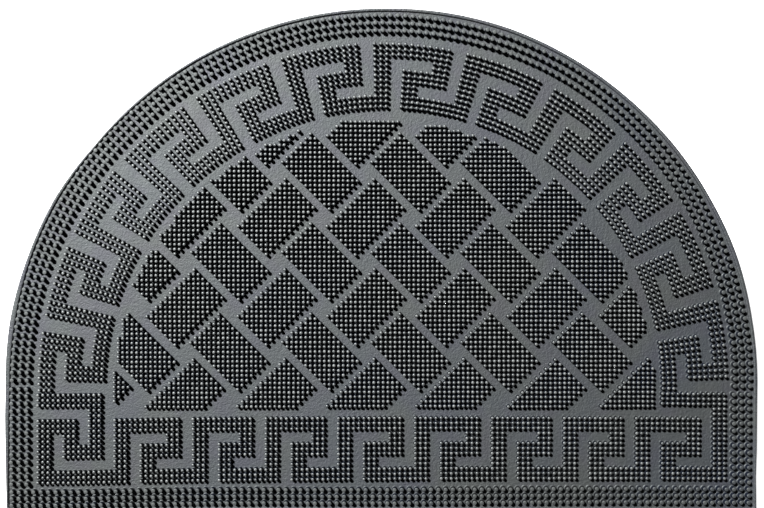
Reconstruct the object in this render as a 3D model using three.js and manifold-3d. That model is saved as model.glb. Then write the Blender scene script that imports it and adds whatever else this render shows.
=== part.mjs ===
import * as THREE from "three";
import { mergeVertices } from "three/addons/utils/BufferGeometryUtils.js";
import Module from "manifold-3d";

// A half round rubber doormat, moulded in one piece and lying flat.
// A thin sheet carries a trimmed lip round its edge, three rows of studs inside the lip,
// a Greek key border and a field of basket weave tiles. Here each row of studs, the key's
// stroke and each tile are raised to their full height as whole ribs and blocks.
//
// Millimetres, +Z up. Plan sizes are measured from the centre of the arch: +X to the
// right, +Y to the crown, with straight sides and a straight front edge below it.

// Heights above the surface that the mat lies on
const sheetTop = 2.6;
const lipTop = 3.9;
const ribTop = 7.0;
const rootLevel = 1.2;

// Front edge and its two corners
const frontEdge = -100.0;
const frontWall = -97.6;
const cornerCut = 1.6;

// Steps round a half circle for the sheet's edge and for the ribs
const edgeSteps = 72;
const ribSteps = 64;

// The edge was trimmed by hand: radius of the outside and of the lip's inner wall,
// by angle round the arch from the right hand side
const archTrim = [
  { angle: 0, edge: 299.4, wall: 296.4 },
  { angle: 10, edge: 299.9, wall: 297.2 },
  { angle: 20, edge: 301.4, wall: 298.2 },
  { angle: 30, edge: 301.6, wall: 298.9 },
  { angle: 40, edge: 302.0, wall: 299.0 },
  { angle: 50, edge: 302.0, wall: 299.3 },
  { angle: 60, edge: 302.3, wall: 299.7 },
  { angle: 70, edge: 302.7, wall: 299.9 },
  { angle: 80, edge: 302.0, wall: 299.3 },
  { angle: 90, edge: 301.0, wall: 298.6 },
  { angle: 100, edge: 300.7, wall: 298.2 },
  { angle: 110, edge: 300.2, wall: 297.6 },
  { angle: 120, edge: 300.0, wall: 298.0 },
  { angle: 130, edge: 299.5, wall: 297.3 },
  { angle: 140, edge: 298.8, wall: 297.0 },
  { angle: 150, edge: 300.7, wall: 298.2 },
  { angle: 160, edge: 300.6, wall: 297.8 },
  { angle: 170, edge: 301.1, wall: 296.8 },
  { angle: 180, edge: 300.1, wall: 296.5 },
];

// The straight sides below the arch: distance of the outside and the wall from the middle
const sideTrim = [
  { height: -25, leftEdge: 300.6, leftWall: 297.2, rightEdge: 299.1, rightWall: 296.5 },
  { height: -50, leftEdge: 300.2, leftWall: 297.4, rightEdge: 298.9, rightWall: 296.7 },
  { height: -72, leftEdge: 299.8, leftWall: 297.6, rightEdge: 298.2, rightWall: 296.4 },
  { height: -95, leftEdge: 299.3, leftWall: 297.4, rightEdge: 298.5, rightWall: 296.6 },
];

// Three rows of studs, each a closed ring: round the arch, down the sides, along the front
const studRows = [
  { radius: 294, side: 292, front: -93.9 },
  { radius: 288, side: 286, front: -88.6 },
  { radius: 282, side: 280, front: -83.3 },
];
const studRibHalf = 2.2;
const frontSteps = 40;

// Down the sides the rows sit further out on the left than on the right
const leftStudsOut = 2.2;
const rightStudsOut = -0.7;

// How far the studs stray from that: outwards round the arch, and up the plan along the front
const studDrift = [
  { angle: 0, out: -2.0 },
  { angle: 5, out: -1.2 },
  { angle: 15, out: -0.9 },
  { angle: 20, out: -0.8 },
  { angle: 25, out: -0.5 },
  { angle: 30, out: 0.0 },
  { angle: 35, out: 0.4 },
  { angle: 45, out: 0.7 },
  { angle: 60, out: 1.4 },
  { angle: 70, out: 1.3 },
  { angle: 80, out: 0.8 },
  { angle: 90, out: 0.6 },
  { angle: 100, out: 0.7 },
  { angle: 110, out: 0.5 },
  { angle: 120, out: 0.4 },
  { angle: 135, out: 0.2 },
  { angle: 145, out: 0.5 },
  { angle: 155, out: 0.6 },
  { angle: 162, out: 0.4 },
  { angle: 170, out: 0.0 },
  { angle: 180, out: -0.3 },
];
const frontStudDrift = [
  { place: -270, up: -0.8 },
  { place: -240, up: -0.7 },
  { place: -210, up: 0.0 },
  { place: -180, up: 0.4 },
  { place: -150, up: 0.8 },
  { place: -120, up: 1.2 },
  { place: -60, up: 1.1 },
  { place: 0, up: 1.1 },
  { place: 60, up: 1.4 },
  { place: 90, up: 1.6 },
  { place: 150, up: 1.9 },
  { place: 210, up: 1.9 },
  { place: 270, up: 1.6 },
];

// Greek key: a stroke three pins wide on a grid of columns along the border and rows
// across it, row 0 outermost
const keyTopRadius = 272.4;
const keyRowPitch = 4.145;
const keyColumnTurn = 1.056;
const keyMiddleColumn = 89.5;
const keyFoot = 1.5;
const archUnits = [15, 14, 14, 15, 15, 15, 15, 15, 14, 14, 15, 15];
const frontUnits = [15, 14, 14, 15, 15, 14, 14, 15];
const frontUnitsStart = 15;
const columnsPerStep = 3.2;

// How far the moulded border strays: turned on by so many degrees and moved outwards
const keyDrift = [
  { angle: 0, turn: -0.12, out: 0.6 },
  { angle: 10, turn: -0.21, out: 0.7 },
  { angle: 20, turn: -0.20, out: 0.7 },
  { angle: 30, turn: -0.15, out: 0.8 },
  { angle: 40, turn: -0.15, out: 0.6 },
  { angle: 50, turn: -0.27, out: 0.6 },
  { angle: 55, turn: -0.31, out: 0.6 },
  { angle: 65, turn: -0.21, out: 0.2 },
  { angle: 75, turn: -0.28, out: -0.1 },
  { angle: 82, turn: -0.27, out: -0.3 },
  { angle: 90, turn: -0.33, out: -0.3 },
  { angle: 100, turn: -0.42, out: -0.4 },
  { angle: 110, turn: -0.51, out: -0.6 },
  { angle: 120, turn: -0.59, out: -0.7 },
  { angle: 130, turn: -0.64, out: -0.4 },
  { angle: 140, turn: -0.70, out: -0.1 },
  { angle: 145, turn: -0.79, out: 0.2 },
  { angle: 150, turn: -0.75, out: 0.2 },
  { angle: 155, turn: -0.69, out: 0.2 },
  { angle: 160, turn: -0.79, out: 0.1 },
  { angle: 170, turn: -0.73, out: -0.1 },
  { angle: 180, turn: -0.62, out: -0.1 },
];

// The straight part of the border: its rows fan out a little to the left
const frontColumnPitch = 4.105;
const frontFirstRow = -5;
const frontFirstLevel = -6.6;
const frontRise = 0.65;
const frontPitchLeft = 4.09;
const frontPitchRight = 3.94;
const frontColumns = 133;

// How far it strays, by how far right of the middle
const frontDrift = [
  { place: -255, right: -0.2, up: -0.6 },
  { place: -232, right: -0.6, up: -0.5 },
  { place: -209, right: -0.8, up: -0.1 },
  { place: -185, right: -0.5, up: 0.3 },
  { place: -139, right: 0.0, up: 0.8 },
  { place: -93, right: 0.2, up: 1.0 },
  { place: -46, right: 0.4, up: 1.0 },
  { place: 0, right: 0.0, up: 1.1 },
  { place: 46, right: -0.1, up: 1.2 },
  { place: 93, right: -0.6, up: 1.0 },
  { place: 139, right: -0.8, up: 0.8 },
  { place: 185, right: -1.0, up: 0.5 },
  { place: 232, right: -1.1, up: 0.2 },
  { place: 255, right: -1.2, up: -0.1 },
];

// Basket weave: rows of upright and lying diamonds of pins, each with its own even grid
const tilePinPitch = 3.72;
const tileFoot = 1.5;
const tileLong = 10;
const tileShort = 6;
const tileMiddle = { x: -13.8, y: 134.9 };
const tileAcross = 70.9;
const tileSpread = 0.175;
const tileDown = 71.55;
const tilesOut = 4;
const fieldFront = -17.3;
const fewestTilePins = 6;

// How far out the weave reaches, by angle round the arch
const fieldEdge = [
  { angle: 0, reach: 215.6 },
  { angle: 8, reach: 214.9 },
  { angle: 18, reach: 213.8 },
  { angle: 35, reach: 214.3 },
  { angle: 50, reach: 214.3 },
  { angle: 67, reach: 213.2 },
  { angle: 73, reach: 212.3 },
  { angle: 85, reach: 213.0 },
  { angle: 108, reach: 213.4 },
  { angle: 113, reach: 212.8 },
  { angle: 126, reach: 212.2 },
  { angle: 140, reach: 213.2 },
  { angle: 158, reach: 213.4 },
  { angle: 168, reach: 212.6 },
  { angle: 180, reach: 213.0 },
];

// Tiles that sit a little off the even weave, by place across and down
const tileStray = [
  { across: -2.5, down: 0, right: -0.3, up: 0.0 },
  { across: -2.5, down: 1, right: -0.8, up: -0.8 },
  { across: -2, down: 1, right: 0.1, up: -0.6 },
  { across: -2, down: 2, right: -0.6, up: -0.8 },
  { across: -1.5, down: 0, right: -0.6, up: -0.2 },
  { across: -1.5, down: 1, right: -1.4, up: -0.4 },
  { across: -1, down: 0, right: 0.4, up: -0.3 },
  { across: -1, down: 1, right: 0.3, up: -0.4 },
  { across: -1, down: 2, right: 0.0, up: -0.4 },
  { across: 0, down: -1, right: 0.4, up: 0.0 },
  { across: 0, down: 0, right: 0.0, up: -0.5 },
  { across: 0, down: 1, right: 0.4, up: -0.2 },
  { across: 1.5, down: -1, right: 0.1, up: 0.4 },
  { across: 2, down: 1, right: 0.5, up: -0.1 },
  { across: 2, down: 2, right: 0.8, up: -0.4 },
  { across: 3, down: 1, right: 0.0, up: 0.3 },
];

const wasm = await Module();
wasm.setup();

// Value of one named column at a place along a table, taken straight between its rows
function along(table, key, place, column) {
  const last = table.length - 1;
  const rising = table[last][key] > table[0][key] ? 1 : -1;
  const next = table.findIndex((row) => rising * (row[key] - place) >= 0);
  if (next === 0) return table[0][column];
  if (next < 0) return table[last][column];
  const before = table[next - 1];
  const after = table[next];
  const share = (place - before[key]) / (after[key] - before[key]);
  return before[column] + share * (after[column] - before[column]);
}

function polar(angle, radius) {
  const turn = THREE.MathUtils.degToRad(angle);
  return new THREE.Vector2(radius * Math.cos(turn), radius * Math.sin(turn));
}

// Outline of the sheet or of the lip's inner wall, anticlockwise from the right hand side
function trimmedOutline(column, front) {
  const name = column === "edge" ? "Edge" : "Wall";
  const points = [];
  for (let step = 0; step <= edgeSteps; step++) {
    const angle = (180 * step) / edgeSteps;
    points.push(polar(angle, along(archTrim, "angle", angle, column)));
  }
  for (const row of sideTrim) points.push(new THREE.Vector2(-row["left" + name], row.height));
  const foot = sideTrim[sideTrim.length - 1];
  const left = -foot["left" + name];
  const right = foot["right" + name];
  points.push(new THREE.Vector2(left, front + cornerCut));
  points.push(new THREE.Vector2(left + cornerCut, front));
  points.push(new THREE.Vector2(right - cornerCut, front));
  points.push(new THREE.Vector2(right, front + cornerCut));
  for (const row of [...sideTrim].reverse()) {
    points.push(new THREE.Vector2(row["right" + name], row.height));
  }
  return points;
}

// One edge of a stud rib, grown outwards from the row's middle line
function studLoop(row, grow) {
  const points = [];
  for (let step = 1; step < ribSteps; step++) {
    const angle = (180 * step) / ribSteps;
    points.push(polar(angle, row.radius + grow + along(studDrift, "angle", angle, "out")));
  }
  const left = -(row.side + leftStudsOut + grow);
  const right = row.side + rightStudsOut + grow;
  points.push(new THREE.Vector2(left, 0));
  for (let step = 0; step <= frontSteps; step++) {
    const x = left + ((right - left) * step) / frontSteps;
    const up = along(frontStudDrift, "place", x, "up");
    points.push(new THREE.Vector2(x, row.front - grow + up));
  }
  points.push(new THREE.Vector2(right, 0));
  return points;
}

// Places of the key's grid in plan: round the arch, and across the straight part
const archGrid = {
  place(column, row) {
    const even = 90 + (keyMiddleColumn - column) * keyColumnTurn;
    const angle = even + along(keyDrift, "angle", even, "turn");
    const out = along(keyDrift, "angle", even, "out");
    return polar(angle, keyTopRadius + out - keyRowPitch * row);
  },
  columnPitch(row) {
    return (keyTopRadius - keyRowPitch * row) * THREE.MathUtils.degToRad(keyColumnTurn);
  },
};

const frontGrid = {
  place(column, row) {
    const share = column / frontColumns;
    const pitch = frontPitchLeft + share * (frontPitchRight - frontPitchLeft);
    const level = frontFirstLevel + share * frontRise - (row - frontFirstRow) * pitch;
    const x = (column - frontColumns / 2) * frontColumnPitch;
    const right = along(frontDrift, "place", x, "right");
    return new THREE.Vector2(x + right, level + along(frontDrift, "place", x, "up"));
  },
  columnPitch() {
    return frontColumnPitch;
  },
};

// Cells passed on a run round the arch, without the two where it turns
function archPasses(from, to, row) {
  const steps = Math.ceil(Math.abs(to - from) / columnsPerStep);
  const cells = [];
  for (let step = 1; step < steps; step++) {
    cells.push({ grid: archGrid, column: from + ((to - from) * step) / steps, row });
  }
  return cells;
}

// The key's middle line, one closed route clockwise round the mat
function keyRoute() {
  const route = [];
  const turnAt = (grid, column, row) => route.push({ grid, column, row });
  let first = 0;
  archUnits.forEach((width, unit) => {
    const hook = first + width - 4;
    const next = first + width + 1;
    if (unit > 0) turnAt(archGrid, first + 1, 1);
    route.push(...archPasses(first + 1, hook, 1));
    turnAt(archGrid, hook, 1);
    turnAt(archGrid, hook, 6);
    route.push(...archPasses(hook, first + 6, 6));
    turnAt(archGrid, first + 6, 6);
    turnAt(archGrid, first + 6, 11);
    route.push(...archPasses(first + 6, next, 11));
    if (unit < archUnits.length - 1) turnAt(archGrid, next, 11);
    first += width;
  });

  const rightColumn = frontColumns - 1;
  turnAt(frontGrid, rightColumn - 10, -4);
  turnAt(frontGrid, rightColumn, -4);
  turnAt(frontGrid, rightColumn, 11);
  let start = rightColumn - 1;
  for (const width of [...frontUnits].reverse()) {
    start -= width;
    turnAt(frontGrid, start + 6, 11);
    turnAt(frontGrid, start + 6, 6);
    turnAt(frontGrid, start + width - 4, 6);
    turnAt(frontGrid, start + width - 4, 1);
    turnAt(frontGrid, start + 1, 1);
    turnAt(frontGrid, start + 1, 11);
  }

  turnAt(frontGrid, 1, 11);
  turnAt(frontGrid, 1, 1);
  turnAt(frontGrid, 6, 1);
  turnAt(frontGrid, 6, 6);
  turnAt(frontGrid, 11, 6);
  turnAt(frontGrid, 11, -4);
  turnAt(frontGrid, 1, -4);
  return route;
}

// Heading between two cells as a whole step of columns and rows in the grid of one of them
function heading(cell, from, to) {
  const { grid, column, row } = cell;
  const across = grid.place(column + 0.5, row).sub(grid.place(column - 0.5, row)).normalize();
  const inward = grid.place(column, row + 0.5).sub(grid.place(column, row - 0.5)).normalize();
  const run = to.grid.place(to.column, to.row).sub(from.grid.place(from.column, from.row));
  const alongColumns = run.dot(across);
  const alongRows = run.dot(inward);
  return Math.abs(alongColumns) > Math.abs(alongRows)
    ? { column: Math.sign(alongColumns), row: 0 }
    : { column: 0, row: Math.sign(alongRows) };
}

// One edge of the key's stroke: side 1 is the outside of the ring, -1 its inside
function keyEdge(route, side) {
  return route.map((cell, index) => {
    const before = route[(index + route.length - 1) % route.length];
    const after = route[(index + 1) % route.length];
    const arriving = heading(cell, before, cell);
    const leaving = heading(cell, cell, after);
    const offColumns = Math.sign(arriving.row + leaving.row);
    const offRows = -Math.sign(arriving.column + leaving.column);
    const halfColumns = 1 + keyFoot / cell.grid.columnPitch(cell.row);
    const halfRows = 1 + keyFoot / keyRowPitch;
    return cell.grid.place(
      cell.column + side * offColumns * halfColumns,
      cell.row + side * offRows * halfRows,
    );
  });
}

// Farthest a pin of the weave may stand out in the direction of a place
function fieldReach(x, y) {
  if (y <= 0) return fieldEdge[x > 0 ? 0 : fieldEdge.length - 1].reach;
  return along(fieldEdge, "angle", THREE.MathUtils.radToDeg(Math.atan2(y, x)), "reach");
}

// Pins of one tile that fall inside the field
function tilePins(tile) {
  const pins = [];
  for (let i = -tileLong; i <= tileLong; i++) {
    for (let j = -tileLong; j <= tileLong; j++) {
      const x = tile.x + i * tilePinPitch;
      const y = tile.y + j * tilePinPitch;
      const inTile = Math.abs(i + j) <= tile.up && Math.abs(i - j) <= tile.down;
      const reach = y > 0 ? Math.hypot(x, y) : Math.abs(x);
      if (inTile && reach <= fieldReach(x, y) && y >= fieldFront) pins.push({ x, y });
    }
  }
  return pins;
}

// Tiles of both kinds: the second kind sits half a step on and leans the other way
function weaveTiles() {
  const tiles = [];
  for (let half = -2 * tilesOut; half <= 2 * tilesOut; half++) {
    const leansLeft = half % 2 !== 0;
    const shift = leansLeft ? 0.5 : 0;
    for (let down = -tilesOut; down <= tilesOut; down++) {
      const across = half / 2;
      const tile = {
        x: tileMiddle.x + tileAcross * across + tileSpread * across ** 3,
        y: tileMiddle.y - tileDown * (down + shift),
        up: leansLeft ? tileShort : tileLong,
        down: leansLeft ? tileLong : tileShort,
      };
      if (tilePins(tile).length < fewestTilePins) continue;
      const stray = tileStray.find((row) => row.across === across && row.down === down);
      if (stray) {
        tile.x += stray.right;
        tile.y += stray.up;
      }
      tiles.push(tile);
    }
  }
  return tiles;
}

function tileOutline(tile) {
  const up = (tile.up * tilePinPitch) / Math.SQRT2 + tileFoot;
  const down = (tile.down * tilePinPitch) / Math.SQRT2 + tileFoot;
  const corners = [
    [up, down],
    [up, -down],
    [-up, -down],
    [-up, down],
  ];
  return corners.map(([a, b]) => new THREE.Vector2(
    tile.x + (a + b) * Math.SQRT1_2,
    tile.y + (a - b) * Math.SQRT1_2,
  ));
}

function fieldOutline() {
  const points = [];
  for (let step = 0; step <= ribSteps; step++) {
    const angle = (180 * step) / ribSteps;
    points.push(polar(angle, along(fieldEdge, "angle", angle, "reach") + tileFoot));
  }
  const front = fieldFront - tileFoot / 2;
  points.push(new THREE.Vector2(points[ribSteps].x, front));
  points.push(new THREE.Vector2(points[0].x, front));
  return points;
}

// A closed solid between two levels over an outline, with a hole if one is given
function prism(outline, hole, bottom, top) {
  const anticlockwise = THREE.ShapeUtils.isClockWise(outline) ? [...outline].reverse() : outline;
  const shape = new THREE.Shape(anticlockwise);
  if (hole) shape.holes.push(new THREE.Path(hole));
  const geometry = new THREE.ExtrudeGeometry(shape, { depth: top - bottom, bevelEnabled: false });
  geometry.translate(0, 0, bottom);
  geometry.deleteAttribute("normal");
  geometry.deleteAttribute("uv");
  const merged = mergeVertices(geometry, 1e-4);
  return new wasm.Manifold(new wasm.Mesh({
    numProp: 3,
    vertProperties: merged.attributes.position.array,
    triVerts: new Uint32Array(merged.index.array),
  }));
}

function toGeometry(solid) {
  const mesh = solid.getMesh();
  const geometry = new THREE.BufferGeometry();
  geometry.setAttribute("position", new THREE.BufferAttribute(mesh.vertProperties, 3));
  geometry.setIndex(new THREE.BufferAttribute(mesh.triVerts, 1));
  geometry.computeVertexNormals();
  return geometry;
}

function buildMat() {
  const edge = trimmedOutline("edge", frontEdge);
  const wall = trimmedOutline("wall", frontWall);
  const route = keyRoute();
  let mat = prism(edge, null, 0, sheetTop);
  mat = mat.add(prism(edge, wall, 0, lipTop));
  for (const row of studRows) {
    mat = mat.add(prism(studLoop(row, studRibHalf), studLoop(row, -studRibHalf), rootLevel, ribTop));
  }
  mat = mat.add(prism(keyEdge(route, 1), keyEdge(route, -1), rootLevel, ribTop));
  const field = prism(fieldOutline(), null, 0, ribTop + 1);
  for (const tile of weaveTiles()) {
    mat = mat.add(prism(tileOutline(tile), null, rootLevel, ribTop).intersect(field));
  }
  return { solid: mat, box: new THREE.Box2().setFromPoints(edge) };
}

const rubber = new THREE.MeshStandardMaterial({ color: 0x4b4d4e, roughness: 0.62, metalness: 0 });

const { solid, box } = buildMat();
const mat = new THREE.Mesh(toGeometry(solid), rubber);
mat.name = "mat";
const centre = box.getCenter(new THREE.Vector2());
mat.position.set(-centre.x, -centre.y, 0);

const doormat = new THREE.Group();
doormat.add(mat);

export default doormat;
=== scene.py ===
import math
import bmesh
import bpy
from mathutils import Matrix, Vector, noise


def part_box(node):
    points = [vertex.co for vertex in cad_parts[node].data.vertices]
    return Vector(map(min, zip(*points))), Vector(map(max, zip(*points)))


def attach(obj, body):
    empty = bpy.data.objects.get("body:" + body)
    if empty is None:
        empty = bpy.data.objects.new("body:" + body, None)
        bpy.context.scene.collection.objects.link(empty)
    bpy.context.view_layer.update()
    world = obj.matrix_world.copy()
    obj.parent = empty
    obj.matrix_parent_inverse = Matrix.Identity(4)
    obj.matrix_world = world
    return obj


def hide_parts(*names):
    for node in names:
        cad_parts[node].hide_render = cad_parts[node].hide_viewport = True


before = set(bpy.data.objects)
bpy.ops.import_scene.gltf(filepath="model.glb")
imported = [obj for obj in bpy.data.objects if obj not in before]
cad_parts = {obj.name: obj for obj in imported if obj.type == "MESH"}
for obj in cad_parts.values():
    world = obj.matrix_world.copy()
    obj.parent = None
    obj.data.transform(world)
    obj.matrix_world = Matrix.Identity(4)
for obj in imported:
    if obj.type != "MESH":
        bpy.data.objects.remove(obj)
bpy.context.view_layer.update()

mm = 0.001  # the dictionaries below are in millimetres and degrees
scene = bpy.context.scene

# Plan places are measured from the centre of the arch, +X right and +Y to the crown
centrePlace = {"fromLeft": 300.6, "fromFront": 100.0}
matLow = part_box("mat")[0]
archCentre = Vector((
    matLow.x + centrePlace["fromLeft"] * mm,
    matLow.y + centrePlace["fromFront"] * mm, 0))


# A wire is a node's socket that can stand in sums, in shaders and in geometry trees
class Wire:
    def __init__(self, graph, socket):
        self.graph = graph
        self.socket = socket

    def sum(self, operation, *values):
        return self.graph.make("ShaderNodeMath", {"operation": operation}, dict(enumerate(values)))

    def __add__(self, other):
        return self.sum("ADD", self, other)

    def __radd__(self, other):
        return self.sum("ADD", other, self)

    def __sub__(self, other):
        return self.sum("SUBTRACT", self, other)

    def __rsub__(self, other):
        return self.sum("SUBTRACT", other, self)

    def __mul__(self, other):
        return self.sum("MULTIPLY", self, other)

    def __rmul__(self, other):
        return self.sum("MULTIPLY", other, self)

    def __truediv__(self, other):
        return self.sum("DIVIDE", self, other)

    def between(self, low, high):  # 0 below low, 1 above high, smooth in the middle
        sockets = {"Value": self, "From Min": low, "From Max": high}
        return self.graph.make("ShaderNodeMapRange", {"interpolation_type": "SMOOTHSTEP"}, sockets)

    def beside(self, name):  # another output of the same node
        return Wire(self.graph, self.socket.node.outputs[name])


class Graph:
    def __init__(self, tree):
        self.tree = tree

    def make(self, kind, settings=None, sockets=None, out=0):
        node = self.tree.nodes.new(kind)
        for name, value in (settings or {}).items():
            if name == "knots":
                self.setKnots(node, value)
            else:
                setattr(node, name, value)
        for name, value in (sockets or {}).items():
            if isinstance(value, Wire):
                self.tree.links.new(value.socket, node.inputs[name])
            else:
                node.inputs[name].default_value = value
        return Wire(self, node.outputs[out]) if node.outputs else None

    def setKnots(self, node, knots):  # straight runs between (place, value) pairs
        curve = node.mapping.curves[0]
        while len(curve.points) < len(knots):
            curve.points.new(0.5, 0.5)  # any place does, the loop below moves it
        for point, knot in zip(curve.points, knots):
            point.location = knot
            point.handle_type = "VECTOR"
        node.mapping.update()

    def mix(self, share, first, second):  # a colour between two, the second where share is 1
        sockets = {0: share, 6: first, 7: second}  # 6 and 7 take the two colours
        return self.make("ShaderNodeMix", {"data_type": "RGBA"}, sockets, out=2)

    def cloud(self, where, size, detail=3.0, rough=0.5):  # noise with features of that many mm
        sockets = {"Vector": where, "Scale": 1 / (size * mm), "Detail": detail, "Roughness": rough}
        return self.make("ShaderNodeTexNoise", {"noise_dimensions": "3D"}, sockets)


def polar(angle, radius):
    turn = math.radians(angle)
    return Vector((radius * math.cos(turn), radius * math.sin(turn)))


# Value of one named column at a place along a table, taken straight between its rows
def along(table, key, place, column):
    rows = sorted(table, key=lambda row: row[key])
    if place <= rows[0][key]:
        return rows[0][column]
    for before, after in zip(rows, rows[1:]):
        if place <= after[key]:
            share = (place - before[key]) / (after[key] - before[key])
            return before[column] + share * (after[column] - before[column])
    return rows[-1][column]


def finishPiece(piece):
    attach(piece, "root")
    return piece


# Camera, straight above the mat as in the photograph
cameraLook = {
    "aboveSheet": 700.0,
    "frameWidth": 609.5,  # what 764 pixels cover on the sheet
    "right": 0.05,
    "up": 105.1,
    "sensor": 36.0,
    "nearest": 10.0,
}


def makeCamera(look):
    data = bpy.data.cameras.new("photoCamera")
    data.sensor_width = look["sensor"]
    data.lens = look["sensor"] * look["aboveSheet"] / look["frameWidth"]
    data.clip_start = look["nearest"] * mm
    camera = bpy.data.objects.new("photoCamera", data)
    height = look["aboveSheet"] + matSheet["top"]
    camera.location = archCentre + Vector((look["right"], look["up"], height)) * mm
    scene.collection.objects.link(camera)
    scene.camera = camera


# The sheet, with the lip that was left when its edge was trimmed by hand
matSheet = {
    "top": 2.6,
    "frontEdge": -100.0,
    "frontWall": -97.7,
    "cornerRound": 1.6,
    "cornerSteps": 4,
    "archSteps": 240,
    "sideSteps": 25,
    "frontSteps": 76,
    "middle": (0, 80),  # where the rings of the top close
    "rings": 26,
    "ringSpread": 0.85,  # under 1 sets the rings closer at the rim
    "stillRings": 2,  # rings over which the wave grows from nothing
    "wave": 0.06,  # how far the moulded surface strays up and down
    "waveLength": 55.0,
    "knifeWander": 0.12,  # small wobble of the cut
    "knifeLength": 9.0,
    "lipWander": 0.1,  # how far the lip's top dips
    "lipLength": 27.0,
    "lipFrom": 0.2,  # only what stands that far above the sheet dips
}

# Radius of the cut edge and of the lip's inner wall, by angle round the arch from the right
archTrim = [
    {"angle": 0, "edge": 299.4, "wall": 296.4},
    {"angle": 10, "edge": 299.9, "wall": 297.2},
    {"angle": 20, "edge": 301.4, "wall": 298.2},
    {"angle": 30, "edge": 301.6, "wall": 298.9},
    {"angle": 40, "edge": 302.0, "wall": 299.0},
    {"angle": 50, "edge": 302.0, "wall": 299.3},
    {"angle": 60, "edge": 302.3, "wall": 299.7},
    {"angle": 70, "edge": 302.7, "wall": 299.9},
    {"angle": 80, "edge": 302.0, "wall": 299.3},
    {"angle": 90, "edge": 301.0, "wall": 298.6},
    {"angle": 100, "edge": 300.7, "wall": 298.2},
    {"angle": 110, "edge": 300.2, "wall": 297.6},
    {"angle": 120, "edge": 300.0, "wall": 298.0},
    {"angle": 130, "edge": 299.5, "wall": 297.3},
    {"angle": 140, "edge": 298.8, "wall": 297.0},
    {"angle": 150, "edge": 300.7, "wall": 298.2},
    {"angle": 160, "edge": 300.6, "wall": 297.8},
    {"angle": 170, "edge": 301.1, "wall": 296.8},
    {"angle": 180, "edge": 300.1, "wall": 296.5},
]

# How far out the cut edge and the wall are, down the two straight sides
leftTrim = [
    {"height": 0, "edge": 300.1, "wall": 296.5},
    {"height": -25, "edge": 300.6, "wall": 297.2},
    {"height": -50, "edge": 300.2, "wall": 297.4},
    {"height": -72, "edge": 299.8, "wall": 297.6},
    {"height": -95, "edge": 299.3, "wall": 297.4},
]
rightTrim = [
    {"height": 0, "edge": 299.4, "wall": 296.4},
    {"height": -25, "edge": 299.1, "wall": 296.5},
    {"height": -50, "edge": 298.9, "wall": 296.7},
    {"height": -72, "edge": 298.2, "wall": 296.4},
    {"height": -95, "edge": 298.5, "wall": 296.6},
]

# Section through the lip from the underside to the sheet, each point so far in from its line
lipSection = [
    {"line": "edge", "inset": 0.4, "height": 0.0},
    {"line": "edge", "inset": 0.05, "height": 0.3},
    {"line": "edge", "inset": 0.0, "height": 3.1},
    {"line": "edge", "inset": 0.12, "height": 3.5},
    {"line": "edge", "inset": 0.45, "height": 3.8},
    {"line": "edge", "inset": 0.9, "height": 3.9},
    {"line": "wall", "inset": -0.7, "height": 3.9},
    {"line": "wall", "inset": -0.25, "height": 3.75},
    {"line": "wall", "inset": -0.05, "height": 3.4},
    {"line": "wall", "inset": 0.1, "height": 2.9},
    {"line": "wall", "inset": 0.3, "height": 2.65},
    {"line": "wall", "inset": 0.7, "height": 2.6},
]


# Outline of the cut edge or of the wall, anticlockwise from the right hand end of the arch
def trimmedLine(line):
    front = matSheet["frontEdge"] if line == "edge" else matSheet["frontWall"]
    corner = matSheet["cornerRound"]
    cornerSteps = matSheet["cornerSteps"]
    steps = matSheet["archSteps"]
    points = []
    for step in range(steps + 1):
        angle = 180 * step / steps
        points.append(polar(angle, along(archTrim, "angle", angle, line)))
    sideSteps = matSheet["sideSteps"]
    for step in range(1, sideSteps + 1):
        height = (front + corner) * step / sideSteps
        points.append(Vector((-along(leftTrim, "height", height, line), height)))
    left = points[-1].x
    right = along(rightTrim, "height", front + corner, line)
    turns = [90 * step / cornerSteps for step in range(1, cornerSteps)]
    for turn in turns:
        points.append(Vector((left + corner, front + corner)) + polar(180 + turn, corner))
    across = matSheet["frontSteps"]
    for step in range(across + 1):
        points.append(Vector((left + corner + (right - left - 2 * corner) * step / across, front)))
    for turn in turns:
        points.append(Vector((right - corner, front + corner)) + polar(270 + turn, corner))
    for step in range(sideSteps):
        height = (front + corner) * (1 - step / sideSteps)
        points.append(Vector((along(rightTrim, "height", height, line), height)))
    return points


def inwards(points, index):  # from a point of an outline, square to its run
    before, after = points[index - 1], points[(index + 1) % len(points)]
    run = (after - before).normalized()
    return Vector((-run.y, run.x))


def sheetArea():  # flat area inside the cut edge, in square metres
    points = trimmedLine("edge")
    total = 0.0
    for first, second in zip(points, points[1:] + points[:1]):
        total += first.x * second.y - second.x * first.y
    return total / 2 * mm * mm


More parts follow.
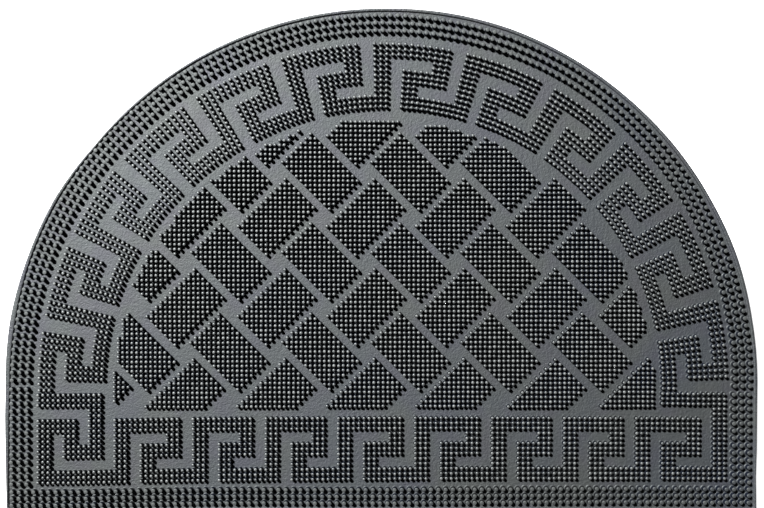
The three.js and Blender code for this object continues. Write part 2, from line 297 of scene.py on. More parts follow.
def makeSheet(material):
    lines = {"edge": trimmedLine("edge"), "wall": trimmedLine("wall")}
    count = len(lines["edge"])
    mesh = bmesh.new()

    def addPoint(plan, height):
        return mesh.verts.new(archCentre + Vector((plan.x, plan.y, height)) * mm)

    def skin(lower, upper):
        for index in range(count):
            after = (index + 1) % count
            mesh.faces.new((lower[index], lower[after], upper[after], upper[index]))

    loops = []
    length = matSheet["knifeLength"]
    noiseLevels = {"edge": 3, "wall": 8}  # so that the two lines wander apart
    for row in lipSection:
        points = lines[row["line"]]
        loop = []
        for index, point in enumerate(points):
            spot = Vector((point.x / length, point.y / length, noiseLevels[row["line"]]))
            wander = matSheet["knifeWander"] * noise.noise(spot)
            inset = row["inset"] + abs(wander)
            height = row["height"]
            if height > matSheet["top"] + matSheet["lipFrom"]:
                dip = noise.noise(spot * length / matSheet["lipLength"])
                height += matSheet["lipWander"] * min(0, dip)
            loop.append(addPoint(point + inset * inwards(points, index), height))
        loops.append(loop)

    # Top of the sheet, in rings that close on its middle
    middle = Vector(matSheet["middle"])
    rim = [vert.co for vert in loops[-1]]
    for ring in range(1, matSheet["rings"]):
        share = (1 - ring / matSheet["rings"]) ** matSheet["ringSpread"]
        loop = []
        for place in rim:
            plan = (place - archCentre).xy / mm
            plan = middle + (plan - middle) * share
            spot = Vector((plan.x, plan.y, 0)) / matSheet["waveLength"]
            fade = min(1, ring / matSheet["stillRings"])
            lift = matSheet["wave"] * fade * noise.noise(spot)
            loop.append(addPoint(plan, matSheet["top"] + lift))
        loops.append(loop)
    for lower, upper in zip(loops, loops[1:]):
        skin(lower, upper)
    crown = addPoint(middle, matSheet["top"])
    under = addPoint(middle, 0)
    for index in range(count):
        after = (index + 1) % count
        mesh.faces.new((loops[-1][index], loops[-1][after], crown))
        mesh.faces.new((loops[0][after], loops[0][index], under))

    bmesh.ops.recalc_face_normals(mesh, faces=mesh.faces)
    data = bpy.data.meshes.new("matSheet")
    mesh.to_mesh(data)
    mesh.free()
    data.shade_smooth()
    sheet = bpy.data.objects.new("matSheet", data)
    data.materials.append(material)
    scene.collection.objects.link(sheet)
    return finishPiece(sheet)


# Basket weave: slanting tiles of pins, upright ones to the right and lying ones to the left
weaveChart = {
    "pinPitch": 3.72,
    "long": 10,  # from a tile's middle to its end, steps across and steps up together
    "short": 6,  # the same to its long side
    "middle": (-13.8, 134.9),
    "across": 70.9,  # from one tile to the next of its kind
    "spread": 0.175,  # how much wider the tiles stand towards the sides
    "down": 71.55,
    "tilesOut": 4,  # tiles tried each way from the middle one
    "front": -17.3,
    "fewestPins": 6,  # a tile cut off to fewer is left out
}

# How far out the weave reaches, by angle round the arch
fieldEdge = [
    {"angle": 0, "reach": 215.6},
    {"angle": 8, "reach": 214.9},
    {"angle": 18, "reach": 213.8},
    {"angle": 35, "reach": 214.3},
    {"angle": 50, "reach": 214.3},
    {"angle": 67, "reach": 213.2},
    {"angle": 73, "reach": 212.3},
    {"angle": 85, "reach": 213.0},
    {"angle": 108, "reach": 213.4},
    {"angle": 113, "reach": 212.8},
    {"angle": 126, "reach": 212.2},
    {"angle": 140, "reach": 213.2},
    {"angle": 158, "reach": 213.4},
    {"angle": 168, "reach": 212.6},
    {"angle": 180, "reach": 213.0},
]

# Tiles that sit a little off the even weave, by place across and down
tileStray = [
    {"across": -2.5, "down": 0, "right": -0.3, "up": 0.0},
    {"across": -2.5, "down": 1, "right": -0.8, "up": -0.8},
    {"across": -2, "down": 1, "right": 0.1, "up": -0.6},
    {"across": -2, "down": 2, "right": -0.6, "up": -0.8},
    {"across": -1.5, "down": 0, "right": -0.6, "up": -0.2},
    {"across": -1.5, "down": 1, "right": -1.4, "up": -0.4},
    {"across": -1, "down": 0, "right": 0.4, "up": -0.3},
    {"across": -1, "down": 1, "right": 0.3, "up": -0.4},
    {"across": -1, "down": 2, "right": 0.0, "up": -0.4},
    {"across": 0, "down": -1, "right": 0.4, "up": 0.0},
    {"across": 0, "down": 0, "right": 0.0, "up": -0.5},
    {"across": 0, "down": 1, "right": 0.4, "up": -0.2},
    {"across": 1.5, "down": -1, "right": 0.1, "up": 0.4},
    {"across": 2, "down": 1, "right": 0.5, "up": -0.1},
    {"across": 2, "down": 2, "right": 0.8, "up": -0.4},
    {"across": 3, "down": 1, "right": 0.0, "up": 0.3},
]


# Farthest a pin of the weave may stand from the middle line in the direction of a place
def fieldReach(place):
    if place.y <= 0:
        return fieldEdge[0 if place.x > 0 else -1]["reach"]
    return along(fieldEdge, "angle", math.degrees(math.atan2(place.y, place.x)), "reach")


def tilePins(centre, stray, upright):
    chart = weaveChart
    reachUp, reachDown = chart["long"], chart["short"]
    if not upright:
        reachUp, reachDown = reachDown, reachUp
    pins = []
    steps = range(-chart["long"], chart["long"] + 1)
    for across in steps:
        for up in steps:
            if abs(across + up) > reachUp or abs(across - up) > reachDown:
                continue
            place = centre + chart["pinPitch"] * Vector((across, up))
            reach = place.length if place.y > 0 else abs(place.x)
            if reach <= fieldReach(place) and place.y >= chart["front"]:
                pins.append(place + stray)
    return pins if len(pins) >= chart["fewestPins"] else []


def weavePins(upright):
    chart = weaveChart
    pins = []
    for half in range(-2 * chart["tilesOut"], 2 * chart["tilesOut"] + 1):
        if (half % 2 == 0) != upright:
            continue
        for down in range(-chart["tilesOut"], chart["tilesOut"] + 1):
            across = half / 2
            x = chart["middle"][0] + chart["across"] * across + chart["spread"] * across ** 3
            y = chart["middle"][1] - chart["down"] * (down if upright else down + 0.5)
            stray = [row for row in tileStray if row["across"] == across and row["down"] == down]
            stray = Vector((stray[0]["right"], stray[0]["up"])) if stray else Vector((0, 0))
            pins += tilePins(Vector((x, y)), stray, upright)
    return pins


# Greek key: a stroke three pins wide, columns along the border and rows across it from outside
keyChart = {
    "topRadius": 272.4,
    "rowPitch": 4.145,
    "columnTurn": 1.056,
    "middleColumn": 89.5,
    "stroke": 3,
    "inner": 5,  # column and row at which a hook turns in on itself
    "rows": 13,
    "archUnits": (15, 14, 14, 15, 15, 15, 15, 15, 14, 14, 15, 15),
    "frontUnits": (15, 14, 14, 15, 15, 14, 14, 15),
    "frontUnitsStart": 15,
    "cornerColumns": 13,
    "frontColumns": 133,  # the last one's number, counted from 0
    "frontColumnPitch": 4.105,
    "firstRow": -5,  # the front border's corners begin that many rows above its hooks
    "firstLevel": -6.6,
    "rise": 0.65,  # from the left end to the right one
    "pitchLeft": 4.09,
    "pitchRight": 3.94,
}

# How far the moulded border strays: turned on by so many degrees and moved outwards
keyDrift = [
    {"angle": 0, "turn": -0.12, "out": 0.6},
    {"angle": 10, "turn": -0.21, "out": 0.7},
    {"angle": 20, "turn": -0.20, "out": 0.7},
    {"angle": 30, "turn": -0.15, "out": 0.8},
    {"angle": 40, "turn": -0.15, "out": 0.6},
    {"angle": 50, "turn": -0.27, "out": 0.6},
    {"angle": 55, "turn": -0.31, "out": 0.6},
    {"angle": 65, "turn": -0.21, "out": 0.2},
    {"angle": 75, "turn": -0.28, "out": -0.1},
    {"angle": 82, "turn": -0.27, "out": -0.3},
    {"angle": 90, "turn": -0.33, "out": -0.3},
    {"angle": 100, "turn": -0.42, "out": -0.4},
    {"angle": 110, "turn": -0.51, "out": -0.6},
    {"angle": 120, "turn": -0.59, "out": -0.7},
    {"angle": 130, "turn": -0.64, "out": -0.4},
    {"angle": 140, "turn": -0.70, "out": -0.1},
    {"angle": 145, "turn": -0.79, "out": 0.2},
    {"angle": 150, "turn": -0.75, "out": 0.2},
    {"angle": 155, "turn": -0.69, "out": 0.2},
    {"angle": 160, "turn": -0.79, "out": 0.1},
    {"angle": 170, "turn": -0.73, "out": -0.1},
    {"angle": 180, "turn": -0.62, "out": -0.1},
]

# The same for the front border, by how far right of the middle
frontDrift = [
    {"place": -255, "right": -0.2, "up": -0.6},
    {"place": -232, "right": -0.6, "up": -0.5},
    {"place": -209, "right": -0.8, "up": -0.1},
    {"place": -185, "right": -0.5, "up": 0.3},
    {"place": -139, "right": 0.0, "up": 0.8},
    {"place": -93, "right": 0.2, "up": 1.0},
    {"place": -46, "right": 0.4, "up": 1.0},
    {"place": 0, "right": 0.0, "up": 1.1},
    {"place": 46, "right": -0.1, "up": 1.2},
    {"place": 93, "right": -0.6, "up": 1.0},
    {"place": 139, "right": -0.8, "up": 0.8},
    {"place": 185, "right": -1.0, "up": 0.5},
    {"place": 232, "right": -1.1, "up": 0.2},
    {"place": 255, "right": -1.2, "up": -0.1},
]


# True where a pin stands in one hook of the key, by its column and row within the hook
def inHook(column, row, width):
    stroke, inner = keyChart["stroke"], keyChart["inner"]
    last = width - stroke
    top = row < stroke and column <= last
    upright = column < stroke
    far = last - stroke < column <= last and row < inner + stroke
    back = inner <= row < inner + stroke and inner <= column <= last
    down = inner <= column < inner + stroke and row >= inner
    foot = row >= keyChart["rows"] - stroke and column >= inner
    return top or upright or far or back or down or foot


def archPlace(column, row):
    chart = keyChart
    even = 90 + (chart["middleColumn"] - column) * chart["columnTurn"]
    angle = even + along(keyDrift, "angle", even, "turn")
    out = along(keyDrift, "angle", even, "out")
    return polar(angle, chart["topRadius"] + out - chart["rowPitch"] * row)


def frontPlace(column, row):
    chart = keyChart
    share = column / chart["frontColumns"]
    pitch = chart["pitchLeft"] + share * (chart["pitchRight"] - chart["pitchLeft"])
    level = chart["firstLevel"] + share * chart["rise"] - (row - chart["firstRow"]) * pitch
    x = (column - chart["frontColumns"] / 2) * chart["frontColumnPitch"]
    right = along(frontDrift, "place", x, "right")
    up = along(frontDrift, "place", x, "up")
    return Vector((x + right, level + up))


def archKeyPins():
    pins = []
    start = 0
    for width in keyChart["archUnits"]:
        for column in range(width):
            if start + column < keyChart["stroke"]:  # the front border's corner stands there
                continue
            rows = [row for row in range(keyChart["rows"]) if inHook(column, row, width)]
            pins += [archPlace(start + column, row) for row in rows]
        start += width
    return pins


def frontKeyPins():
    chart = keyChart
    cells = set()
    stroke, inner, corner = chart["stroke"], chart["inner"], chart["cornerColumns"]
    turn = inner + stroke  # just past the corner's inner turn, by column and by row
    last = chart["frontColumns"]
    for row in range(chart["firstRow"], chart["rows"]):
        start = row < chart["firstRow"] + stroke
        foot = row >= chart["rows"] - stroke
        for column in range(corner):  # the turn of the border in the left corner
            upright = column < stroke and row >= 0
            top = 0 <= row < stroke and column < turn
            far = inner <= column < turn and 0 <= row < turn
            back = inner <= row < turn and column >= inner
            near = column >= corner - stroke and row < turn
            if upright or top or far or back or near or start:
                cells.add((column, row))
        for column in range(last - corner + 1, last + 1):  # and in the right one
            if start or column > last - stroke:
                cells.add((column, row))
        for column in range(chart["frontUnitsStart"] if foot else 0):
            cells.add((column, row))
    start = chart["frontUnitsStart"]
    for width in chart["frontUnits"]:
        for column in range(width):
            for row in range(chart["rows"]):
                if inHook(column, row, width):
                    cells.add((start + column, row))
        start += width
    return [frontPlace(column, row) for column, row in sorted(cells)]


# Studs: three closed rows inside the lip, by how far out they stand on each stretch
studChart = {
    "rows": (
        {"radius": 294, "side": 292, "front": -93.9},
        {"radius": 288, "side": 286, "front": -88.6},
        {"radius": 282, "side": 280, "front": -83.3},
    ),
    "archColumns": 154,
    "archTurn": 1.169,
    "frontColumns": 102,
}

# The two straight sides: how far the studs there stand off, and how many there are
studSides = [
    {"side": -1, "out": 2.2, "up": -0.3, "pitch": 5.8, "columns": 14},
    {"side": 1, "out": -0.7, "up": 1.4, "pitch": 5.8, "columns": 13},
]

# How far the studs stray from that, round the arch and along the front
studDrift = [
    {"angle": 0, "turn": -0.56, "out": -2.0},
    {"angle": 5, "turn": -0.52, "out": -1.2},
    {"angle": 15, "turn": -0.42, "out": -0.9},
    {"angle": 20, "turn": -0.27, "out": -0.8},
    {"angle": 25, "turn": 0.15, "out": -0.5},
    {"angle": 30, "turn": 0.31, "out": 0.0},
    {"angle": 35, "turn": 0.30, "out": 0.4},
    {"angle": 45, "turn": 0.37, "out": 0.7},
    {"angle": 60, "turn": 0.43, "out": 1.4},
    {"angle": 70, "turn": 0.45, "out": 1.3},
    {"angle": 80, "turn": 0.42, "out": 0.8},
    {"angle": 90, "turn": 0.45, "out": 0.6},
    {"angle": 100, "turn": 0.36, "out": 0.7},
    {"angle": 110, "turn": 0.14, "out": 0.5},
    {"angle": 120, "turn": -0.09, "out": 0.4},
    {"angle": 135, "turn": -0.25, "out": 0.2},
    {"angle": 145, "turn": -0.40, "out": 0.5},
    {"angle": 155, "turn": -0.54, "out": 0.6},
    {"angle": 162, "turn": -0.56, "out": 0.4},
    {"angle": 170, "turn": -0.49, "out": 0.0},
    {"angle": 180, "turn": -0.36, "out": -0.3},
]
frontStudDrift = [
    {"place": -270, "right": -1.9, "up": -0.8},
    {"place": -240, "right": -0.9, "up": -0.7},
    {"place": -210, "right": -0.1, "up": 0.0},
    {"place": -180, "right": 0.6, "up": 0.4},
    {"place": -150, "right": 1.0, "up": 0.8},
    {"place": -120, "right": 1.4, "up": 1.2},
    {"place": -60, "right": 1.8, "up": 1.1},
    {"place": 0, "right": 1.4, "up": 1.1},
    {"place": 60, "right": 1.5, "up": 1.4},
    {"place": 90, "right": 1.1, "up": 1.6},
    {"place": 150, "right": 0.2, "up": 1.9},
    {"place": 210, "right": -0.5, "up": 1.9},
    {"place": 270, "right": -1.1, "up": 1.6},
]


def studPlaces():
    chart = studChart
    places = []
    middleColumn = (chart["archColumns"] - 1) / 2
    widest, innermost = chart["rows"][0]["side"], chart["rows"][-1]["front"]
    for row in chart["rows"]:
        for column in range(chart["archColumns"]):
            angle = 90 + (column - middleColumn) * chart["archTurn"]
            turned = angle + along(studDrift, "angle", angle, "turn")
            places.append(polar(turned, row["radius"] + along(studDrift, "angle", angle, "out")))
        for side in studSides:
            for column in range(1, side["columns"] + 1):
                y = innermost + side["up"] + side["pitch"] * column
                places.append(Vector((side["side"] * (row["side"] + side["out"]), y)))
        for column in range(chart["frontColumns"]):
            x = widest * (2 * column / (chart["frontColumns"] - 1) - 1)
            right = along(frontStudDrift, "place", x, "right")
            up = along(frontStudDrift, "place", x, "up")
            places.append(Vector((x + right, row["front"] + up)))
    return places


# One pin: in its section, radius is a share of the foot's and level a share of the height
pinForm = {
    "sides": 8,
    "footRadius": 1.95,
    "height": 4.4,
    "sink": 0.1,  # how deep the foot goes into the sheet
    "lean": 1.5,  # the most it leans, in degrees
    "stray": 0.07,  # the most it stands off its place
    "sizeSpread": 0.05,
    "heightSpread": 0.03,
    "section": (
        {"radius": 1.0, "level": 0.0},
        {"radius": 0.84, "level": 0.05},
        {"radius": 0.73, "level": 0.13},
        {"radius": 0.71, "level": 0.87},
        {"radius": 0.54, "level": 0.96},
        {"radius": 0.27, "level": 1.0},
    ),
}

# One stud: a stout peg with a flat top, given in the same way
studForm = {
    "sides": 10,
    "footRadius": 2.6,
    "height": 4.4,
    "sink": 0.1,
    "lean": 1.2,
    "stray": 0.08,
    "sizeSpread": 0.03,
    "heightSpread": 0.02,
    "section": (
        {"radius": 1.0, "level": 0.0},
        {"radius": 0.83, "level": 0.06},
        {"radius": 0.69, "level": 0.165},
        {"radius": 0.65, "level": 0.92},
        {"radius": 0.59, "level": 0.98},
        {"radius": 0.45, "level": 1.0},
    ),
}

# What the trees below are given: for each value its socket's label and kind
standInputs = {
    "footRadius": ("Foot Radius", "NodeSocketFloat"),
    "height": ("Height", "NodeSocketFloat"),
    "sink": ("Sink", "NodeSocketFloat"),
    "lean": ("Lean", "NodeSocketFloat"),
    "stray": ("Stray", "NodeSocketFloat"),
    "sizeSpread": ("Size Spread", "NodeSocketFloat"),
    "heightSpread": ("Height Spread", "NodeSocketFloat"),
    "sides": ("Sides", "NodeSocketInt"),
    "seed": ("Seed", "NodeSocketInt"),
    "rubber": ("Rubber", "NodeSocketMaterial"),
}


# Geometry tree that sets one pin or stud on every point it is given
def standTree(name, section):
    tree = bpy.data.node_groups.new(name, "GeometryNodeTree")
    tree.is_modifier = True
    tree.interface.new_socket("Places", in_out="INPUT", socket_type="NodeSocketGeometry")
    for label, kind in standInputs.values():
        tree.interface.new_socket(label, in_out="INPUT", socket_type=kind)
    tree.interface.new_socket("Stands", in_out="OUTPUT", socket_type="NodeSocketGeometry")
    graph = Graph(tree)
    places = graph.make("NodeGroupInput", out="Places")
    given = {key: places.beside(label) for key, (label, _) in standInputs.items()}
    seed = given["seed"]

    # One stand: a cylinder whose rings are moved to the section
    segments = len(section) - 1
    cylinder = graph.make("GeometryNodeMeshCylinder", {"fill_type": "NGON"}, {
        "Vertices": given["sides"], "Side Segments": segments, "Radius": 1.0, "Depth": 1.0})
    x = graph.make("ShaderNodeSeparateXYZ", sockets={0: graph.make("GeometryNodeInputPosition")})
    share = x.beside("Z") + 0.5  # 0 at the foot and 1 at the head
    radii = [(index / segments, row["radius"]) for index, row in enumerate(section)]
    levels = [(index / segments, row["level"]) for index, row in enumerate(section)]
    radius = graph.make("ShaderNodeFloatCurve", {"knots": radii}, {"Value": share})
    radius = radius * given["footRadius"]
    level = graph.make("ShaderNodeFloatCurve", {"knots": levels}, {"Value": share})
    moved = graph.make("ShaderNodeCombineXYZ", sockets={
        "X": x * radius, "Y": x.beside("Y") * radius,
        "Z": level * (given["height"] + given["sink"]) - given["sink"]})
    stand = graph.make("GeometryNodeSetPosition", sockets={"Geometry": cylinder, "Position": moved})
    stand = graph.make("GeometryNodeSetShadeSmooth", sockets={
        "Geometry": stand, "Shade Smooth": True})
    stand = graph.make("GeometryNodeSetShadeSmooth", {"domain": "EDGE"}, {  # a sharp foot rim
        "Geometry": stand, "Selection": cylinder.beside("Bottom"), "Shade Smooth": False})

    def spread(low, high, step):  # a random number for each stand, from its own seed
        node = tree.nodes.new("FunctionNodeRandomValue")
        node.data_type = "FLOAT"
        lowSocket, highSocket = [s for s in node.inputs if s.enabled][:2]
        for socket, value in ((lowSocket, low), (highSocket, high)):
            if isinstance(value, Wire):
                tree.links.new(value.socket, socket)
            else:
                socket.default_value = value
        tree.links.new((seed + step).socket, node.inputs["Seed"])
        return Wire(graph, next(s for s in node.outputs if s.enabled))

    stray, lean = given["stray"], given["lean"]
    shift = graph.make("ShaderNodeCombineXYZ", sockets={
        "X": spread(-1.0, 1.0, step=1) * stray, "Y": spread(-1.0, 1.0, step=2) * stray})
    strayed = graph.make("GeometryNodeSetPosition", sockets={"Geometry": places, "Offset": shift})
    turn = graph.make("ShaderNodeCombineXYZ", sockets={
        "X": spread(-1.0, 1.0, step=3) * lean, "Y": spread(-1.0, 1.0, step=4) * lean,
        "Z": spread(0.0, 2 * math.pi, step=5)})
    wide = 1 + spread(-1.0, 1.0, step=6) * given["sizeSpread"]
    tall = 1 - spread(0.0, 1.0, step=7) * given["heightSpread"]
    size = graph.make("ShaderNodeCombineXYZ", sockets={"X": wide, "Y": wide, "Z": tall})
    stands = graph.make("GeometryNodeInstanceOnPoints", sockets={
        "Points": strayed, "Instance": stand, "Rotation": turn, "Scale": size})
    onInstance = {"data_type": "FLOAT", "domain": "INSTANCE"}
    stands = graph.make("GeometryNodeStoreNamedAttribute", onInstance, {
        "Geometry": stands, "Name": "standShade", "Value": spread(0.0, 1.0, step=8)})
    stands = graph.make("GeometryNodeRealizeInstances", sockets={"Geometry": stands})
    stands = graph.make("GeometryNodeSetMaterial", sockets={
        "Geometry": stands, "Material": given["rubber"]})
    graph.make("NodeGroupOutput", sockets={"Stands": stands})
    return tree


def growStands(name, places, seed, tree, form, rubber):
    height = matSheet["top"]
    points = [archCentre + Vector((place.x, place.y, height)) * mm for place in places]
    data = bpy.data.meshes.new(name)
    data.from_pydata(points, [], [])
    piece = bpy.data.objects.new(name, data)
    scene.collection.objects.link(piece)
    modifier = piece.modifiers.new("stands", "NODES")
    modifier.node_group = tree
    values = {key: form[key] for key in standInputs if key in form}
    for key in ("footRadius", "height", "sink", "stray"):
        values[key] *= mm
    values["lean"] = math.radians(values["lean"])
    values.update({"seed": seed, "rubber": rubber})
    sockets = [item for item in tree.interface.items_tree if item.in_out == "INPUT"]
    identifiers = {socket.name: socket.identifier for socket in sockets}
    for key, (label, _) in standInputs.items():
        modifier[identifiers[label]] = values[key]
    depsgraph = bpy.context.evaluated_depsgraph_get()
    grown = bpy.data.meshes.new_from_object(
        piece.evaluated_get(depsgraph), preserve_all_data_layers=True, depsgraph=depsgraph)
    piece.modifiers.remove(modifier)
    piece.data = grown
    grown.name = name
    print(name, len(places), "stands,", len(grown.polygons), "faces")
    return finishPiece(piece)


# How much paler the heads of the pins and the tops of the studs are, by height above the floor:
# partly wear, partly painted highlight for the bright spots the lamp leaves on them
pinWearAndHighlight = {
    "from": 6.45,
    "to": 6.8,
    "colour": (0.11, 0.113, 0.112, 1),
    "least": 0.25,
    "spread": 0.55,  # from one pin to the next
    "rough": 0.5,
}
studWearAndHighlight = {
    "from": 6.4,
    "to": 6.8,
    "colour": (0.03, 0.031, 0.03, 1),
    "least": 0.2,
    "spread": 0.5,
    "rough": 0.66,
}

# Rubber of the sheet and of what stands on it
rubberLook = {
    "dark": (0.005, 0.0065, 0.0115, 1),
    "pale": (0.008, 0.0085, 0.009, 1),
    "dust": (0.02, 0.021, 0.02, 1),
    "speck": (0.3, 0.3, 0.28, 1),
    "specular": 1.0,
    "greenSheen": (0.93, 1.0, 0.975, 1),  # tints of what the surface reflects, in broad clouds
    "blueSheen": (0.92, 0.94, 1.0, 1),
    "sheetRough": 0.66,
    "roughSpread": 0.12,
    "wallRough": 0.6,
    "shadedWallSpecular": 0.06,
    "wallFrom": 0.3,  # how far above the sheet the painted shade on the walls of pins and studs begins
    "wallTo": 0.7,
    "wallSpread": 0.1,
    "cloudSize": 70.0,
    "paleFrom": 0.35,  # the same range of the clouds for sheet, pins and studs
    "paleTo": 0.68,
    "sheenSize": 24.0,
    "sheenFrom": 0.4,
    "sheenTo": 0.66,
    "flowSize": 9.0,
    "flowSquash": 0.35,
    "dustFrom": 0.5,
    "dustTo": 0.85,
    "dustShare": 0.35,
    "rippleSize": 2.2,
    "grainSize": 1.1,
    "speckSize": 3.2,
    "speckFrom": 0.03,  # a speck's core and rim
    "speckTo": 0.07,
    "fewFrom": 0.93,  # only cells past this share hold a speck
    "fewTo": 0.94,
    "relief": 0.25,  # depth of the sheet's bumps, the next two as shares of the flow's
    "grainRelief": 0.62,
    "rippleRelief": 1.25,
    "standRelief": 0.12,
    "standBump": 0.3,
    "eachRough": 0.08,  # spread of the roughness from one pin or stud to the next
    "overRough": 0.1,  # and over each
    "wearAndHighlightGrain": 0.4,
}


def newMaterial(name):
    material = bpy.data.materials.new(name)
    material.use_nodes = True
    graph = Graph(material.node_tree)
    shader = next(n for n in material.node_tree.nodes if n.type == "BSDF_PRINCIPLED")
    return material, graph, shader


def feed(graph, shader, **wires):
    names = {"colour": "Base Color", "roughness": "Roughness", "normal": "Normal"}
    for key, wire in wires.items():
        graph.tree.links.new(wire.socket, shader.inputs[names[key]])


# A second shader beside a material's first, shown by the share
def blend(graph, shader, share, specular, tint):
    output = next(n for n in graph.tree.nodes if n.type == "OUTPUT_MATERIAL")
    second = graph.tree.nodes.new("ShaderNodeBsdfPrincipled")
    second.inputs["Specular IOR Level"].default_value = specular
    second.inputs["Specular Tint"].default_value = tint
    both = graph.make("ShaderNodeMixShader", sockets={
        0: share, 1: Wire(graph, shader.outputs[0]), 2: Wire(graph, second.outputs[0])})
    graph.tree.links.new(both.socket, output.inputs["Surface"])
    return second


def sheetRubber(look):
    material, graph, shader = newMaterial("sheetRubber")
    where = graph.make("ShaderNodeTexCoord", out="Object")
    clouds = graph.cloud(where, look["cloudSize"], detail=4.0)
    squashed = (1.0, look["flowSquash"], 1.0)
    stretched = graph.make("ShaderNodeMapping", sockets={"Vector": where, "Scale": squashed})
    flow = graph.cloud(stretched, look["flowSize"], detail=5.0, rough=0.6)
    ripple = graph.cloud(where, look["rippleSize"], detail=2.0, rough=0.6)
    grain = graph.cloud(where, look["grainSize"], detail=2.0, rough=0.6)
    cells = graph.make("ShaderNodeTexVoronoi", {"feature": "F1"}, {
        "Vector": where, "Scale": 1 / (look["speckSize"] * mm), "Randomness": 1.0})
    tint = graph.make("ShaderNodeSeparateColor", sockets={0: cells.beside("Color")})
    specks = 1 - cells.between(look["speckFrom"], look["speckTo"])
    specks = specks * tint.between(look["fewFrom"], look["fewTo"])
    colour = graph.mix(clouds.between(look["paleFrom"], look["paleTo"]), look["dark"], look["pale"])
    dusty = flow.between(look["dustFrom"], look["dustTo"]) * look["dustShare"]
    colour = graph.mix(dusty, colour, look["dust"])
    colour = graph.mix(specks, colour, look["speck"])
    spread = look["roughSpread"]
    rough = look["sheetRough"] + (flow - 0.5) * spread + (grain - 0.5) * spread
    height = grain * look["grainRelief"] + ripple * look["rippleRelief"] + flow
    normal = graph.make("ShaderNodeBump", sockets={
        "Strength": 1.0, "Distance": look["relief"] * mm, "Height": height})
    shader.inputs["Specular IOR Level"].default_value = look["specular"]
    shader.inputs["Specular Tint"].default_value = look["greenSheen"]
    sheen = graph.cloud(where, look["sheenSize"]).between(look["sheenFrom"], look["sheenTo"])
    blue = blend(graph, shader, sheen, look["specular"], look["blueSheen"])
    for one in (shader, blue):
        feed(graph, one, colour=colour, roughness=rough, normal=normal)
    return material


# Rubber of the pins or studs, paler on the heads, partly from wear and partly as painted highlight
def standRubber(name, look, wearAndHighlight):
    material, graph, shader = newMaterial(name)
    where = graph.make("ShaderNodeTexCoord", out="Object")
    shade = graph.make("ShaderNodeAttribute", {"attribute_name": "standShade"}, out="Fac")
    height = graph.make("ShaderNodeSeparateXYZ", sockets={0: where}).beside("Z") / mm
    head = height.between(wearAndHighlight["from"], wearAndHighlight["to"])
    clouds = graph.cloud(where, look["cloudSize"], detail=4.0)
    grain = graph.cloud(where, look["grainSize"], detail=2.0, rough=0.6)
    colour = graph.mix(clouds.between(look["paleFrom"], look["paleTo"]), look["dark"], look["pale"])
    # Painted highlight in part: the pale head colour also stands in for the lamp's bright spots on
    # the heads
    wornAndHighlight = head * (wearAndHighlight["least"] + wearAndHighlight["spread"] * shade + look["wearAndHighlightGrain"] * (grain - 0.5))
    wornAndHighlight = graph.mix(wornAndHighlight, colour, wearAndHighlight["colour"])
    rough = look["sheetRough"] + head * (wearAndHighlight["rough"] - look["sheetRough"])
    rough = rough + (shade - 0.5) * look["eachRough"] + (grain - 0.5) * look["overRough"]
    normal = graph.make("ShaderNodeBump", sockets={
        "Strength": look["standBump"], "Distance": look["standRelief"] * mm, "Height": grain})
    shader.inputs["Specular IOR Level"].default_value = look["specular"]
    shader.inputs["Specular Tint"].default_value = look["greenSheen"]
    feed(graph, shader, colour=wornAndHighlight, roughness=rough, normal=normal)
    # Painted shade: above the foot, the walls get a copy of the rubber that hardly reflects, so
    # they stay dark where the lamp falls
    shadedWallShare = height.between(matSheet["top"] + look["wallFrom"], matSheet["top"] + look["wallTo"])
    wall = blend(graph, shader, (1 - head) * shadedWallShare, look["shadedWallSpecular"], look["greenSheen"])
    wallRough = look["wallRough"] + (grain - 0.5) * look["wallSpread"]
    feed(graph, wall, colour=colour, roughness=wallRough, normal=normal)
    return material


# Plain pale floor and soft studio light
studioLook = {
    "floorSize": 6000.0,
    "floorDrop": 0.1,  # a hair below the mat, so that their faces don't meet
    "floorColour": (0.86, 0.86, 0.86, 1),
    "floorRough": 0.9,
    "floorGlow": 0.9,
    "backdrop": 0.9,
    "fill": 0.003,
}

# Azimuth and elevation in degrees, seen from the middle of the mat, and how far and wide
lamps = {
    "keyLight": {"from": 136.0, "up": 45.5, "far": 6000.0, "size": 280.0, "power": 1400.0},
}


def makeLamp(name, look):
    lamp = bpy.data.lights.new(name, "AREA")
    lamp.shape = "DISK"
    lamp.size = look["size"] * mm
    lamp.energy = look["power"]
    light = bpy.data.objects.new(name, lamp)
    lift = math.radians(look["up"])
    flat = polar(look["from"], math.cos(lift))
    away = Vector((flat.x, flat.y, math.sin(lift)))
    light.location = away * look["far"] * mm
    light.rotation_mode = "QUATERNION"
    light.rotation_quaternion = away.to_track_quat("Z", "Y")
    light.visible_camera = False
    scene.collection.objects.link(light)


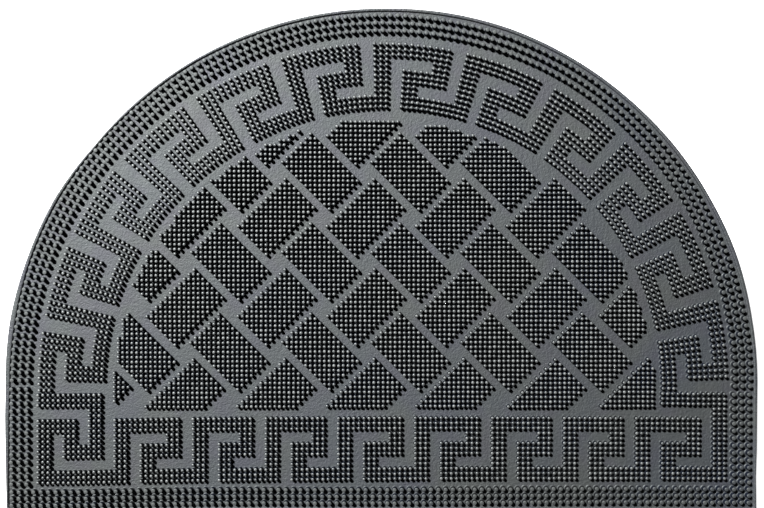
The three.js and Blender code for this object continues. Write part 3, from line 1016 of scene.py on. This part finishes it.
def makeStudio(look):
    size = look["floorSize"] * mm / 2
    data = bpy.data.meshes.new("paleFloor")
    level = -look["floorDrop"] * mm
    corners = [(x * size, y * size, level) for x, y in ((-1, -1), (1, -1), (1, 1), (-1, 1))]
    data.from_pydata(corners, [], [(0, 1, 2, 3)])
    floor = bpy.data.objects.new("paleFloor", data)
    material, _, shader = newMaterial("paleFloor")
    shader.inputs["Base Color"].default_value = look["floorColour"]
    shader.inputs["Roughness"].default_value = look["floorRough"]
    shader.inputs["Emission Color"].default_value = (1, 1, 1, 1)
    shader.inputs["Emission Strength"].default_value = look["floorGlow"]
    data.materials.append(material)
    scene.collection.objects.link(floor)

    for name, lamp in lamps.items():
        makeLamp(name, lamp)

    world = bpy.data.worlds.new("studio")
    scene.world = world
    world.use_nodes = True
    graph = Graph(world.node_tree)
    background = next(n for n in world.node_tree.nodes if n.type == "BACKGROUND")
    seen = graph.make("ShaderNodeLightPath", out="Is Camera Ray")
    strength = look["fill"] + seen * (look["backdrop"] - look["fill"])
    graph.tree.links.new(strength.socket, background.inputs["Strength"])
    background.inputs["Color"].default_value = (1, 1, 1, 1)


scene.view_settings.view_transform = "Standard"

print("sheet")
sheet = makeSheet(sheetRubber(rubberLook))
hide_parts("mat")

print("pins and studs")
seeds = {"uprightWeave": 11, "lyingWeave": 23, "archKey": 37, "frontKey": 41, "rim": 59}
pinRubber = standRubber("pinRubber", rubberLook, pinWearAndHighlight)
studRubber = standRubber("studRubber", rubberLook, studWearAndHighlight)
pinTree = standTree("pinTree", pinForm["section"])
studTree = standTree("studTree", studForm["section"])
pin, stud = (pinTree, pinForm, pinRubber), (studTree, studForm, studRubber)
stands = [
    growStands("uprightWeavePins", weavePins(True), seeds["uprightWeave"], *pin),
    growStands("lyingWeavePins", weavePins(False), seeds["lyingWeave"], *pin),
    growStands("archKeyPins", archKeyPins(), seeds["archKey"], *pin),
    growStands("frontKeyPins", frontKeyPins(), seeds["frontKey"], *pin),
    growStands("rimStuds", studPlaces(), seeds["rim"], *stud),
]
sheetArea()

print("camera and light")
makeCamera(cameraLook)
makeStudio(studioLook)
